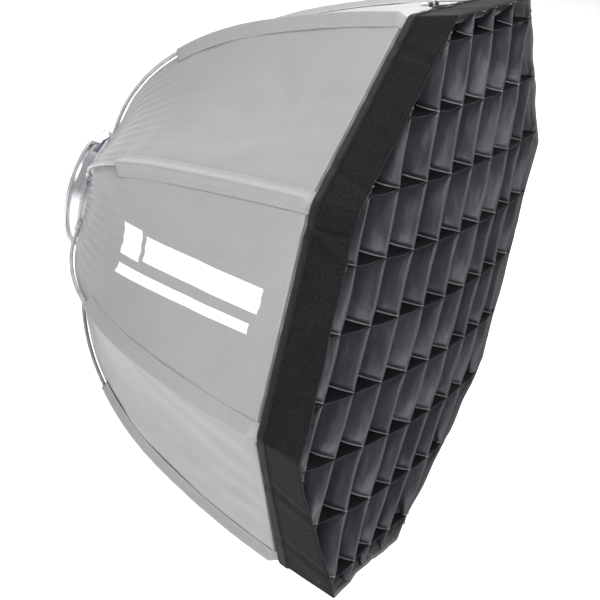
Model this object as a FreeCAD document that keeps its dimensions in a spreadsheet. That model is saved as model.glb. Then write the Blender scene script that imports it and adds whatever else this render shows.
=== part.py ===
import FreeCAD, Part
import math
import os
import Sketcher
from FreeCAD import Placement, Rotation, Vector

# A collapsible octagonal softbox on a round clamp adapter, with a soft egg-crate grid on its front.
# Millimetres.  The optical axis is Y: the adapter's rear face is y = 0 and light leaves towards -Y.
# +Z is up.  Two flats of the octagon are level, so the eight ridges stand at 22.5, 67.5 ... degrees.

SIDES = 8
EIGHTH = 360.0 / SIDES
HALF_EIGHTH = EIGHTH / 2
FLAT_OVER_CORNER = math.cos(math.radians(HALF_EIGHTH))

# alias, value, what it is
DIMENSIONS = [
    ("corner_radius", 305.0, "front octagon, axis to corner"),
    ("box_depth", 357.0, "adapter rear face to the skirt's front edge"),
    ("skirt_depth", 49.0, "front edge to rear edge of the skirt"),
    ("skirt_taper", 0.947, "rear edge of the skirt over its front edge"),
    ("skirt_cloth", 2.0, "thickness of the loop cloth"),
    ("binding_width", 8.0, "folded binding on the skirt's rear edge"),
    ("binding_cloth", 0.8, "thickness of one fold of binding"),
    ("hook_width", 22.0, "hook tape inside the skirt"),
    ("tape_thick", 0.8, "hook and loop tape"),
    ("seam_gap", 0.15, "half the gap left at a sewn corner"),
    ("lip_radius", 283.5, "shell lip, axis to corner"),
    ("lip_start", 22.0, "front edge of the lip behind the skirt's front edge"),
    ("lip_end", 52.0, "rear edge of the lip, where the gores begin"),
    ("ledge_width", 18.0, "ledge that holds the diffuser"),
    ("shell_cloth", 1.2, "shell cloth with its reflective lining"),
    ("collar_radius", 64.0, "shell collar, axis to corner"),
    ("collar_front", 31.6, "shell collar in front of the adapter's rear face"),
    ("rod_radius", 2.0, "spring rod"),
    ("rod_clear", 1.0, "rod to shell cloth"),
    ("rod_reach", 369.0, "length of a rod outside its socket"),
    ("root_angle", 79.9, "rod to axis at the socket"),
    ("tip_angle", 15.7, "rod to axis at the tip"),
    ("root_radius", 71.8, "axis to the rod where it leaves the socket"),
    ("root_front", 24.0, "rear face to the rod where it leaves the socket"),
    ("socket_depth", 10.0, "rod inside its socket"),
    ("socket_radius", 4.6, "outside of a rod socket"),
    ("tip_cap_length", 12.0, "vinyl cap on a rod tip"),
    ("tip_cap_radius", 2.9, "vinyl cap on a rod tip"),
    ("sleeve_half", 11.0, "half the width of a rod sleeve"),
    ("sleeve_cloth", 0.7, "thickness of a rod sleeve"),
    ("sleeve_start", 38.0, "bare rod between the socket and the sleeve"),
    ("bore_radius", 50.0, "flash head that the liner grips"),
    ("liner_radius", 53.0, "outside of the rubber liner"),
    ("liner_length", 44.0, "length of the rubber liner"),
    ("tube_radius", 55.0, "outside of the adapter tube"),
    ("tube_length", 46.0, "length of the adapter tube"),
    ("rim_radius", 58.6, "rear rim of the adapter"),
    ("rim_width", 4.5, "rear rim of the adapter"),
    ("rim_round", 0.9, "rounding of the rear rim"),
    ("split_width", 5.0, "split in the tube under the latch"),
    ("carrier_bore", 55.3, "bore of the turning rod carrier"),
    ("flange_radius", 62.0, "matte flange of the carrier"),
    ("flange_back", 17.0, "rear face to the flange"),
    ("flange_front", 20.0, "rear face to the joint of flange and carrier"),
    ("carrier_radius", 61.0, "outside of the carrier body"),
    ("carrier_front", 31.0, "rear face to the front of the carrier"),
    ("snap_radius", 57.2, "outside of the snap ring"),
    ("snap_width", 1.4, "snap ring along the axis"),
    ("screw_radius", 1.9, "head of a carrier screw"),
    ("screw_height", 0.9, "head of a carrier screw"),
    ("hem_width", 6.0, "elastic hem at the collar"),
    ("grid_depth", 45.0, "walls of the soft grid, in the middle"),
    ("grid_pitch", 64.3, "cell size of the soft grid"),
    ("grid_cloth", 1.2, "thickness of a grid wall"),
    ("grid_slot", 1.8, "slot where two grid walls cross"),
    ("grid_bow", 19.0, "how far the middle of the grid hangs forward"),
    ("grid_step", 20.0, "depth where a wall's slanted end meets its rear edge"),
    ("grid_edge", 281.0, "rear corner of a wall, axis to corner"),
    ("diffuser_front", 50.4, "front edge to the diffuser"),
    ("diffuser_cloth", 1.2, "thickness of the diffuser"),
    ("diffuser_radius", 281.0, "diffuser, axis to corner"),
    ("baffle_front", 190.0, "front edge to the inner baffle"),
    ("baffle_radius", 165.0, "inner baffle, axis to corner"),
    ("strap_width", 14.0, "elastic strap of the baffle"),
    ("strap_lap", 10.0, "strap sewn onto the baffle"),
    ("latch_back", 5.6, "rear face to the latch"),
    ("latch_width", 10.0, "latch along the axis"),
    ("pin_radius", 1.25, "latch pins"),
    ("pin_clear", 0.06, "running clearance of a latch pin"),
    ("ring_radius", 6.5, "tether ring, centre to wire centre"),
    ("ring_wire", 1.1, "tether ring wire radius"),
    ("tab_side", -22.0, "middle of the webbing tab from the centre plane"),
    ("tab_width", 26.0, "webbing tab"),
    ("tab_length", 13.0, "webbing tab on the skirt"),
    ("tab_thick", 1.2, "webbing tab"),
    ("flat", round(FLAT_OVER_CORNER, 9), "axis to flat over axis to corner"),
    ("half_eighth", HALF_EIGHTH, "degrees from a flat to a ridge"),
]

doc = FreeCAD.newDocument("octabox")
dims = doc.addObject("Spreadsheet::Sheet", "dims")
for row, (alias, size, note) in enumerate(DIMENSIONS, start=1):
    dims.set(f"A{row}", note)
    dims.set(f"B{row}", str(size))
    dims.setAlias(f"B{row}", alias)
doc.recompute()

pieces = []


def size(alias):
    return float(dims.get(alias))


def keep(piece, label):
    piece.Label = label
    pieces.append(piece)
    return piece


def bind(feature, **expressions):
    for name, expression in expressions.items():
        feature.setExpression(name.replace("__", "."), expression)
    return feature


def about_axis(angle):
    """Turns a piece drawn at 12 o'clock +X round the optical axis."""
    return Placement(Vector(), Rotation(Vector(0, 1, 0), -angle))


def shaped(label, shape, angle=0.0):
    """A sub-part whose form comes from a formula."""
    piece = doc.addObject("Part::Feature", label)
    piece.Shape = shape
    piece.Placement = about_axis(angle) * shape.Placement
    return keep(piece, label)


# ---- sketched pieces --------------------------------------------------------------------------------

def number(expression):
    result = dims.evalExpression(expression)
    return float(getattr(result, "Value", result))


def origin_plane(body, role):
    return next(f for f in body.Origin.OriginFeatures if f.Role == role)


def outline(body, plane, corners, offset="0"):
    """A closed sketch of straight lines; each corner is a pair of expressions on the sheet."""
    sketch = body.newObject("Sketcher::SketchObject", body.Name + "_outline")
    sketch.AttachmentSupport = [(origin_plane(body, plane), "")]
    sketch.MapMode = "FlatFace"
    sketch.setExpression("AttachmentOffset.Base.z", offset)
    points = [Vector(number(x), number(y), 0) for x, y in corners]
    for start, end in zip(points, points[1:] + points[:1]):
        sketch.addGeometry(Part.LineSegment(start, end))
    for i, corner in enumerate(corners):
        before = (i - 1) % len(corners)
        sketch.addConstraint(Sketcher.Constraint("Coincident", before, 2, i, 1))
        for kind, expression in zip(("DistanceX", "DistanceY"), corner):
            place = Sketcher.Constraint(kind, -1, 1, i, 1, number(expression))
            sketch.setExpression(f"Constraints[{sketch.addConstraint(place)}]", expression)
    return sketch


def turned(name, corners):
    """A ring turned about the optical axis from a profile of (radius, y) corners."""
    body = doc.addObject("PartDesign::Body", name)
    profile = outline(body, "XY_Plane", corners)
    ring = body.newObject("PartDesign::Revolution", name + "_turned")
    ring.Profile = profile
    ring.ReferenceAxis = (profile, ["V_Axis"])
    ring.Angle = 360
    return body


def padded(name, plane, corners, offset, length):
    """A plate of an outline, as thick as length along the plane's normal."""
    body = doc.addObject("PartDesign::Body", name)
    profile = outline(body, plane, corners, offset)
    pad = body.newObject("PartDesign::Pad", name + "_pad")
    pad.Profile = profile
    pad.setExpression("Length", length)
    return body


def split_on_top(body, width, front):
    """Cuts a lengthwise gap through the wall of a ring at 12 o'clock."""
    gap = outline(body, "XY_Plane", [
        (f"-{width} / 2", "1"),
        (f"{width} / 2", "1"),
        (f"{width} / 2", f"-{front} - 1"),
        (f"-{width} / 2", f"-{front} - 1"),
    ])
    doc.recompute()
    whole = body.Shape.Volume
    cut = body.newObject("PartDesign::Pocket", body.Name + "_split")
    cut.Profile = gap
    cut.Type = "ThroughAll"
    cut.Reversed = True
    doc.recompute()
    if not cut.Shape.Volume < whole:
        raise RuntimeError(f"{body.Name}: the split cut nothing")
    return body


def rod_pin(name, radius, x, z, back, length):
    """A round bar along the optical axis, starting at back and running forward."""
    pin = doc.addObject("Part::Cylinder", name)
    pin.Placement.Rotation = Rotation(Vector(1, 0, 0), 90)
    return bind(pin, Radius=radius, Height=length, Placement__Base__x=x,
                Placement__Base__y=f"-({back})", Placement__Base__z=z)


def joined(name, *parts):
    fuse = doc.addObject("Part::MultiFuse", name)
    fuse.Shapes = list(parts)
    return fuse


def less(name, base, tool):
    cut = doc.addObject("Part::Cut", name)
    cut.Base = base
    cut.Tool = tool
    return cut


def around(label, shape, angles):
    """One sub-part of equal solids set round the axis."""
    copies = []
    for angle in angles:
        copy = shape.copy()
        copy.Placement = about_axis(angle) * shape.Placement
        copies.append(copy)
    return shaped(label, Part.makeCompound(copies))


FLATS = [EIGHTH * k for k in range(SIDES)]
RIDGES = [EIGHTH * k + HALF_EIGHTH for k in range(SIDES)]

# ---- adapter ----------------------------------------------------------------------------------------

# Thin tube, polished where it shows, with a split under the latch.
tube = turned("mount_tube", [
    ("dims.liner_radius", "0"),
    ("dims.tube_radius", "0"),
    ("dims.tube_radius", "-dims.tube_length"),
    ("dims.liner_radius", "-dims.tube_length"),
])
keep(split_on_top(tube, "dims.split_width", "dims.tube_length"), "mount_tube")

# Rim pressed onto the rear end of the tube, with rounded edges.
rim = turned("rear_rim", [
    ("dims.tube_radius", "0"),
    ("dims.rim_radius - dims.rim_round", "0"),
    ("dims.rim_radius", "-dims.rim_round"),
    ("dims.rim_radius", "-dims.rim_width + dims.rim_round"),
    ("dims.rim_radius - dims.rim_round", "-dims.rim_width"),
    ("dims.tube_radius", "-dims.rim_width"),
])
keep(split_on_top(rim, "dims.split_width", "dims.rim_width"), "rear_rim")

# Rubber liner, with a lip round its front end.
liner = turned("grip_liner", [
    ("dims.bore_radius", "0"),
    ("dims.liner_radius", "0"),
    ("dims.liner_radius", "-dims.liner_length"),
    ("dims.bore_radius", "-dims.liner_length"),
])
keep(split_on_top(liner, "dims.split_width", "dims.liner_length"), "grip_liner")

# Spring ring in front of the rod carrier.
snap = turned("snap_ring", [
    ("dims.tube_radius", "-dims.carrier_front - 0.4"),
    ("dims.snap_radius", "-dims.carrier_front - 0.4"),
    ("dims.snap_radius", "-dims.carrier_front - 0.4 - dims.snap_width"),
    ("dims.tube_radius", "-dims.carrier_front - 0.4 - dims.snap_width"),
])
keep(split_on_top(snap, "dims.split_width", "dims.tube_length"), "snap_ring")

# ---- latch: a drawn link that goes over centre ------------------------------------------------------
# PIVOT is the lever's pin, LINK_END the link's pin in the lever, HOOK the link's cross bar. Points are
# (x, z) seen from behind the adapter.

PIVOT = (-9.0, 59.5)
LINK_END = (-14.5, 58.5)
HOOK = (13.0, 58.3)
LINK_EYE = 1.8
LINK_TOE = 1.26
LINK_CLEAR = 0.1
CROSS_BAR = 1.2
EAR_BACK = 1.6
EAR_WIDTH = 1.4
LEVER_WIDTH = 3.4
BAR_WIDTH = 1.2


def words(points):
    return [(str(x), str(z)) for x, z in points]


def latch_plate(name, points, inset, width):
    """A plate across the latch: inset from the latch's rear side, width forward from there."""
    return padded(name, "XZ_Plane", words(points), f"dims.latch_back + {inset}", str(width))


def latch_bar(name, radius, centre, inset, width):
    return rod_pin(name, radius, str(centre[0]), str(centre[1]), f"dims.latch_back + {inset}",
                   str(width))


LATCH_WIDTH = size("latch_width")
EAR_INSETS = (EAR_BACK, LATCH_WIDTH - EAR_BACK - EAR_WIDTH)
EAR = [(-12.4, 55.0), (-12.4, 60.2), (-10.6, 62.0), (-7.4, 62.0), (-5.6, 60.2), (-5.6, 55.0)]
FOOT = [(-18.0, 50.0), (-18.0, 55.2), (-17.4, 55.8), (-5.1, 55.8), (-4.5, 55.2), (-4.5, 50.0)]
tube_space = rod_pin("tube_space", "dims.tube_radius", "0", "0", "0", "dims.tube_length")
base_solid = joined(
    "latch_base_solid",
    latch_plate("latch_foot", FOOT, 0.4, LATCH_WIDTH - 0.8),
    *(latch_plate(f"latch_ear_{i}", EAR, inset, EAR_WIDTH) for i, inset in enumerate(EAR_INSETS)),
)
base_seated = less("latch_base_seated", base_solid, tube_space)
pivot_hole = latch_bar("pivot_hole", "dims.pin_radius", PIVOT, 0, LATCH_WIDTH)
keep(less("latch_base", base_seated, pivot_hole), "latch_base")
keep(latch_bar("latch_pivot_pin", "dims.pin_radius", PIVOT, EAR_BACK - 0.2,
               LATCH_WIDTH - 2 * EAR_BACK + 0.4), "latch_pivot_pin")

CATCH = [(8.0, 50.0), (8.0, 60.8), (8.8, 61.6), (14.0, 61.6), (14.8, 61.0), (14.8, 60.1),
         (11.4, 60.1), (11.4, 50.0)]
catch_solid = latch_plate("catch_solid", CATCH, 2.6, LATCH_WIDTH - 5.2)
keep(less("latch_catch", catch_solid, tube_space), "latch_catch")

HUB = [(-7.0, 58.2), (-7.0, 60.8), (-8.2, 61.8), (-11.0, 61.7), (-20.0, 58.6), (-20.0, 56.0),
       (-18.0, 56.5), (-9.0, 57.3)]
HANDLE = [(-19.0, 58.9), (-19.0, 56.4), (-34.5, 50.2), (-36.6, 51.6), (-35.8, 53.4), (-28.0, 56.9)]
lever_solid = joined(
    "latch_lever_solid",
    latch_plate("lever_hub", HUB, (LATCH_WIDTH - LEVER_WIDTH) / 2, LEVER_WIDTH),
    latch_plate("lever_handle", HANDLE, 0, LATCH_WIDTH),
)
lever_holes = joined(
    "lever_holes",
    *(latch_bar(name, "dims.pin_radius + dims.pin_clear", centre, 0, LATCH_WIDTH)
      for name, centre in (("pivot_bore", PIVOT), ("link_bore", LINK_END))),
)
keep(less("latch_lever", lever_solid, lever_holes), "latch_lever")

# The link is one loop: two bars, the bar that hooks on the catch and the pin that turns in the lever.

LINK_BAR = [(LINK_END[0], LINK_END[1] - LINK_EYE), (LINK_END[0], LINK_END[1] + LINK_EYE),
            (HOOK[0], HOOK[1] + LINK_TOE), (HOOK[0], HOOK[1] - LINK_TOE)]
LINK_INSETS = (LINK_CLEAR, LATCH_WIDTH - BAR_WIDTH - LINK_CLEAR)
link_parts = [latch_bar("link_cross_bar", str(CROSS_BAR), HOOK, LINK_CLEAR, LATCH_WIDTH - 2 * LINK_CLEAR),
              latch_bar("link_pin", "dims.pin_radius", LINK_END, LINK_CLEAR, LATCH_WIDTH - 2 * LINK_CLEAR)]
for i, inset in enumerate(LINK_INSETS):
    link_parts.append(latch_plate(f"link_bar_{i}", LINK_BAR, inset, BAR_WIDTH))
    link_parts.append(latch_bar(f"link_eye_{i}", str(LINK_EYE), LINK_END, inset, BAR_WIDTH))
    link_parts.append(latch_bar(f"link_toe_{i}", str(LINK_TOE), HOOK, inset, BAR_WIDTH))
keep(joined("latch_link", *link_parts), "latch_link")

# ---- rod carrier ------------------------------------------------------------------------------------

keep(turned("carrier_flange", [
    ("dims.carrier_bore", "-dims.flange_back"),
    ("dims.flange_radius - 0.6", "-dims.flange_back"),
    ("dims.flange_radius", "-dims.flange_back - 0.6"),
    ("dims.flange_radius", "-dims.flange_front"),
    ("dims.carrier_bore", "-dims.flange_front"),
]), "carrier_flange")

ROOT_ANGLE = math.radians(size("root_angle"))
TIP_ANGLE = math.radians(size("tip_angle"))
ROOT = Vector(size("root_radius"), -size("root_front"), 0)
ROOT_WAY = Vector(math.sin(ROOT_ANGLE), -math.cos(ROOT_ANGLE), 0)
doc.recompute()


def socket_shape(radius, depth):
    return Part.makeCylinder(radius, depth, ROOT - ROOT_WAY * depth, ROOT_WAY)


carrier_body = turned("carrier_body", [
    ("dims.carrier_bore", "-dims.flange_front"),
    ("dims.carrier_radius", "-dims.flange_front"),
    ("dims.carrier_radius", "-dims.carrier_front + 1"),
    ("dims.carrier_radius - 1", "-dims.carrier_front"),
    ("dims.carrier_bore", "-dims.carrier_front"),
])
doc.recompute()
carrier = carrier_body.Shape
for angle in RIDGES:
    socket = socket_shape(size("socket_radius"), size("socket_depth") + 2)
    socket.Placement = about_axis(angle)
    carrier = carrier.fuse(socket)
flange_space = Part.makeCylinder(size("flange_radius") + 0.05, size("flange_front"),
                                 Vector(0, -size("flange_front"), 0), Vector(0, 1, 0))
tube_way = Part.makeCylinder(size("carrier_bore"), size("tube_length"), Vector(0, 0, 0), Vector(0, -1, 0))
carrier = carrier.cut(flange_space).cut(tube_way)
for angle in RIDGES:
    bore = socket_shape(size("rod_radius"), size("socket_depth"))
    bore.Placement = about_axis(angle)
    carrier = carrier.cut(bore)
shaped("rod_carrier", carrier)

screw = Part.makeCylinder(
    size("screw_radius"), size("screw_height"),
    Vector((size("carrier_bore") + size("flange_radius")) / 2, -size("flange_back"), 0), Vector(0, 1, 0))
around("carrier_screws", screw, FLATS)

# ---- rods -------------------------------------------------------------------------------------------
# A flexed rod leaves its socket at the root angle. Its bending falls off towards the tip, so its slope
# settles with the square of the length left. It is drawn as tangent arcs, each of one span's mean bend.

SPANS = [0.0, 0.12, 0.3, 0.6, 1.0]
REACH = size("rod_reach")


def way_at(slope):
    return Vector(math.sin(slope), -math.cos(slope), 0)


def out_at(slope):
    return Vector(math.cos(slope), math.sin(slope), 0)


def slope_at(part):
    return TIP_ANGLE + (ROOT_ANGLE - TIP_ANGLE) * (1 - part)**2


def rod_bends():
    """Centre, radius and end slopes of each arc, from the socket to the tip."""
    point = Vector(ROOT)
    bends = []
    for start, end in zip(SPANS, SPANS[1:]):
        steep, easy = slope_at(start), slope_at(end)
        radius = (end - start) * REACH / (steep - easy)
        centre = point - out_at(steep) * radius
        bends.append((centre, radius, steep, easy))
        point = centre + out_at(easy) * radius
    return bends


BENDS = rod_bends()


def flexed(part, offset=0.0):
    """Point and way at a part of the rod's reach, moved out by offset."""
    span = next(i for i in range(len(BENDS)) if part <= SPANS[i + 1])
    centre, radius, steep, easy = BENDS[span]
    along = (part - SPANS[span]) / (SPANS[span + 1] - SPANS[span])
    slope = steep + (easy - steep) * along
    return centre + out_at(slope) * (radius + offset), way_at(slope)


def rod_arcs(offset, start, narrowed=1.0):
    """Arcs along the rod's line from a part of its reach to its tip; narrowed scales its radius."""
    stops = [start] + [part for part in SPANS if part > start]
    arcs = []
    for first, last in zip(stops, stops[1:]):
        points = [flexed(part, offset)[0] for part in (first, (first + last) / 2, last)]
        arcs.append(Part.Arc(*(Vector(q.x * narrowed, q.y, 0) for q in points)).toShape())
    return arcs


in_socket = ROOT - ROOT_WAY * size("socket_depth")
rod_path = Part.Wire([Part.makeLine(in_socket, ROOT), *rod_arcs(0.0, 0.0)])
rod_section = Part.Wire(Part.makeCircle(size("rod_radius"), in_socket, ROOT_WAY))
rod_shape = rod_path.makePipeShell([rod_section], True, False)
for k, angle in enumerate(RIDGES, start=1):
    shaped(f"rod_{k}", rod_shape, angle)

# Vinyl caps: bored to the rod, closed at the tip.
tip, tip_way = flexed(1.0)
CAP_END = 1.2
cap_from = tip - tip_way * (size("tip_cap_length") - CAP_END)
cap = Part.makeCylinder(size("tip_cap_radius"), size("tip_cap_length"), cap_from, tip_way)
cap_bore = Part.makeCylinder(size("rod_radius") + 0.05, size("tip_cap_length") - CAP_END, cap_from, tip_way)
around("rod_tips", cap.cut(cap_bore), RIDGES)

# ---- shell ------------------------------------------------------------------------------------------

# The eighth of all space round one flat, kept half a seam's gap clear of its two neighbours.
EIGHTH_TIP = "dims.seam_gap / sin(dims.half_eighth)"
EIGHTH_REACH = "dims.corner_radius * 1.2"
EIGHTH_HALF = f"({EIGHTH_REACH} - {EIGHTH_TIP}) * tan(dims.half_eighth)"
wedge = padded("eighth", "XZ_Plane", [
    (EIGHTH_TIP, "0"),
    (EIGHTH_REACH, EIGHTH_HALF),
    (EIGHTH_REACH, f"-{EIGHTH_HALF}"),
], "-10", "dims.box_depth + 30")
doc.recompute()
EIGHTH_SPACE = wedge.Shape


def mitred(face):
    """The part of a profile, run across a flat, that lies in one eighth."""
    width = size("corner_radius")
    across = face.extrude(Vector(0, 0, width))
    across.translate(Vector(0, 0, -width / 2))
    return across.common(EIGHTH_SPACE)


LIP_END_Y = -(size("box_depth") - size("lip_end"))
GORE_START = 0.14


def gore_line(offset):
    """The shell's line across a flat: an arc out from the collar, then the rods' arcs, to the lip."""
    inward = -(size("rod_radius") + size("rod_clear") + offset)
    collar = Vector(size("collar_radius"), -size("collar_front") - offset, 0)
    meet, way = flexed(GORE_START, inward)
    out = Vector(-way.y, way.x, 0)
    back = collar - meet
    radius = -back.dot(back) / (2 * back.dot(out))
    centre = meet - out * radius
    middle = ((collar - centre).normalize() + (meet - centre).normalize()).normalize()
    points = [Vector(q.x * FLAT_OVER_CORNER, q.y, 0) for q in (collar, centre + middle * radius, meet)]
    edges = [Part.Arc(*points).toShape(), *rod_arcs(inward, GORE_START, FLAT_OVER_CORNER)]
    tip_point, tip_way = flexed(1.0, inward)
    end = tip_point + tip_way * ((LIP_END_Y - tip_point.y) / tip_way.y)
    edges.append(Part.makeLine(*(Vector(q.x * FLAT_OVER_CORNER, q.y, 0) for q in (tip_point, end))))
    return edges


def ends(edges):
    return edges[0].Vertexes[0].Point, edges[-1].Vertexes[-1].Point


outer = gore_line(0.0)
inner = gore_line(size("shell_cloth"))
closing = [Part.makeLine(a, b) for a, b in zip(ends(outer), ends(inner))]
gore_shape = mitred(Part.Face(Part.Wire(Part.__sortEdges__(outer + inner + closing))))
for k, angle in enumerate(FLATS, start=1):
    shaped(f"shell_gore_{k}", gore_shape, angle)

# Sleeve: a strip of shell cloth arched over the rod and sewn down on each side of it.
SLOPE = math.tan(math.radians(HALF_EIGHTH))
SLEEVE_ABOVE = 0.7
HUMP_STEPS = 4


def sleeve_section(point, way):
    """Section across the rod; the gores fall away from a ridge less where it turns to the collar."""
    out = Vector(-way.y, way.x, 0)
    fall = SLOPE * -way.y
    cloth = size("sleeve_cloth")
    shell = -(size("rod_radius") + size("rod_clear")) + SLEEVE_ABOVE

    def side(reach, rise, hump):
        """One face of the strip: flat, up and over the rod, flat."""
        arch = [math.pi * k / HUMP_STEPS for k in range(HUMP_STEPS + 1)]
        over = [(-hump * math.cos(a), hump * math.sin(a)) for a in arch]
        feet = [(x, shell - x * fall + rise) for x in (reach, hump)]
        left = [(-x, up) for x, up in feet]
        return left + over + feet[::-1]

    hump = size("rod_radius") + size("rod_clear") + SLEEVE_ABOVE
    inside = side(size("sleeve_half"), 0, hump)
    outside = side(size("sleeve_half"), cloth, hump + cloth)
    corners = [point + Vector(0, 0, across) + out * up for across, up in inside + outside[::-1]]
    return Part.makePolygon(corners + corners[:1])


# Sections stand closer together where the rod bends most.
SLEEVE_SPANS = 11
SLEEVE_CROWD = 1.4
sleeve_from = size("sleeve_start") / REACH
sleeve_parts = [sleeve_from + (1 - sleeve_from) * (k / SLEEVE_SPANS)**SLEEVE_CROWD
                for k in range(SLEEVE_SPANS + 1)]
sleeve_shape = Part.makeLoft([sleeve_section(*flexed(part)) for part in sleeve_parts], True, True)
around("rod_sleeves", sleeve_shape, RIDGES)

# Elastic hem that draws the collar in round the tube.
keep(turned("rear_hem", [
    ("dims.snap_radius - 1.2", "-dims.carrier_front - 2.4"),
    ("dims.collar_radius * dims.flat - 0.5", "-dims.carrier_front - 2.4"),
    ("dims.collar_radius * dims.flat - 0.5", "-dims.carrier_front - 2.4 - dims.hem_width"),
    ("dims.snap_radius - 1.2", "-dims.carrier_front - 2.4 - dims.hem_width"),
]), "rear_hem")

# ---- eight-sided bands ------------------------------------------------------------------------------

def band(label, corners, angles=FLATS):
    """Eight flat strips, mitred at the corners; corners are (flat distance, y) expressions."""
    profile = doc.addObject("PartDesign::Body", label + "_profile")
    sketch = outline(profile, "XY_Plane", corners)
    doc.recompute()
    around(label, mitred(Part.Face(sketch.Shape.Wires[0])), angles)


BACK = "-dims.box_depth + "
band("front_lip", [
    ("dims.lip_radius * dims.flat", BACK + "dims.lip_start"),
    ("dims.lip_radius * dims.flat", BACK + "dims.lip_end - 0.2"),
    ("dims.lip_radius * dims.flat - dims.shell_cloth", BACK + "dims.lip_end - 0.2"),
    ("dims.lip_radius * dims.flat - dims.shell_cloth", BACK + "dims.lip_start"),
])
LEDGE_OUT = "dims.lip_radius * dims.flat - dims.shell_cloth - 4.6"
LEDGE_Y = BACK + "dims.diffuser_front + dims.diffuser_cloth + 0.3"
band("diffuser_ledge", [
    (LEDGE_OUT, LEDGE_Y),
    (LEDGE_OUT, LEDGE_Y + " + dims.tape_thick"),
    (LEDGE_OUT + " - dims.ledge_width", LEDGE_Y + " + dims.tape_thick"),
    (LEDGE_OUT + " - dims.ledge_width", LEDGE_Y),
])

FRONT_FLAT = "dims.corner_radius * dims.flat"
REAR_FLAT = "dims.corner_radius * dims.flat * dims.skirt_taper"
TAPER = "dims.corner_radius * dims.flat * (1 - dims.skirt_taper) / dims.skirt_depth"


def skirt_flat(depth):
    return f"({FRONT_FLAT} - {TAPER} * ({depth}))"


def skirt_band(label, start, end, raised, thick):
    """A band that follows the skirt's taper, from start to end behind its front edge."""
    band(label, [
        (f"{skirt_flat(start)} + {raised}", BACK + start),
        (f"{skirt_flat(end)} + {raised}", BACK + end),
        (f"{skirt_flat(end)} + {raised} - {thick}", BACK + end),
        (f"{skirt_flat(start)} + {raised} - {thick}", BACK + start),
    ])


skirt_band("skirt_panels", "0", "dims.skirt_depth", "0", "dims.skirt_cloth")
skirt_band("skirt_binding", "dims.skirt_depth - dims.binding_width", "dims.skirt_depth",
           "dims.binding_cloth + 0.02", "dims.binding_cloth")
skirt_band("skirt_hook_tape", "dims.skirt_depth - dims.binding_width - dims.hook_width + 6",
           "dims.skirt_depth - 2", "-dims.skirt_cloth - 0.02", "dims.tape_thick")

# ---- diffuser and baffle ----------------------------------------------------------------------------

def octagon_sheet(name, radius, front, thick):
    """A flat eight-sided sheet across the axis; front is its distance behind the skirt's front."""
    sheet = doc.addObject("Part::Prism", name)
    sheet.Polygon = SIDES
    sheet.Placement.Rotation = Rotation(Vector(0, 1, 0), -HALF_EIGHTH) * Rotation(Vector(1, 0, 0), 90)
    bind(sheet, Circumradius=radius, Height=thick, Placement__Base__y=f"{BACK} {front} + {thick}")
    return keep(sheet, name)


octagon_sheet("front_diffuser", "dims.diffuser_radius", "dims.diffuser_front", "dims.diffuser_cloth")
octagon_sheet("inner_baffle", "dims.baffle_radius", "dims.baffle_front", "dims.diffuser_cloth")

baffle_back = -size("box_depth") + size("baffle_front") + size("diffuser_cloth") + 0.05
strap_from = size("baffle_radius") - size("strap_lap")


def ridge_radius(y, inward):
    """Radius of a ridge at a place along the axis."""
    low, high = 0.0, 1.0
    for _ in range(30):
        middle = (low + high) / 2
        low, high = (middle, high) if flexed(middle, -inward)[0].y > y else (low, middle)
    return flexed(low, -inward)[0].x


shell_inside = size("rod_radius") + size("rod_clear") + size("shell_cloth")
strap_to = ridge_radius(baffle_back, shell_inside) - size("strap_width") * SLOPE / 2 - 1
strap = Part.makeBox(strap_to - strap_from, size("tape_thick"), size("strap_width"),
                     Vector(strap_from, baffle_back, -size("strap_width") / 2))
around("baffle_straps", strap, RIDGES)

# ---- soft grid --------------------------------------------------------------------------------------
# Nine walls each way, slotted halfway into each other.  The rows stand level and are slotted from
# behind; the columns stand upright and are slotted from the front.  The front edges hang forward a
# little in the middle.  The ends slant in from the skirt's front edge to pass inside the shell's lip,
# and the rear edges are cut in an arc, shallower where the walls run past the lip.

WALLS = range(-4, 5)
FRONT_Y = -size("box_depth")
PITCH = size("grid_pitch")
WALL_CLEAR = 0.4
SLOT_SPARE = 0.2
inner_front = size("corner_radius") * FLAT_OVER_CORNER - size("skirt_cloth") - WALL_CLEAR
inner_lip = size("grid_edge") * FLAT_OVER_CORNER


def half_chord(flat, height):
    """Half the width of an octagon, level sides up, at a height from its middle."""
    shoulder = flat * SLOPE
    return flat - max(0.0, abs(height) - shoulder)


def hang(place):
    """How far the middle of a wall hangs forward."""
    return size("grid_bow") * (1 - (place / inner_front)**2)


def hang_at(place, cross):
    return hang(place) * (1 - (cross / half_chord(inner_front, place))**2)


def wall_outline(place):
    """Outline of one wall in (across, y)."""
    height = abs(place) + size("grid_cloth") / 2
    wide = half_chord(inner_front, height)
    narrow = half_chord(inner_lip, height)
    step_y = FRONT_Y + size("grid_step")
    rear_y = FRONT_Y + size("grid_depth")
    front = [Vector(-wide, FRONT_Y, 0), Vector(0, FRONT_Y - hang(place), 0), Vector(wide, FRONT_Y, 0)]
    rear = [Vector(narrow, step_y, 0), Vector(0, rear_y, 0), Vector(-narrow, step_y, 0)]
    return Part.Wire([
        Part.Arc(*front).toShape(),
        Part.makeLine(front[-1], rear[0]),
        Part.Arc(*rear).toShape(),
        Part.makeLine(rear[-1], front[0]),
    ])


def depth_at(place, cross):
    """Depth behind the front plane at which a wall ends where it meets a crossing wall."""
    wide, narrow = half_chord(inner_front, place), half_chord(inner_lip, place)
    step = size("grid_step")
    if abs(cross) < narrow:
        return step + (size("grid_depth") - step) * (1 - (cross / narrow)**2)
    return step * (wide - abs(cross)) / (wide - narrow)


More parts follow.
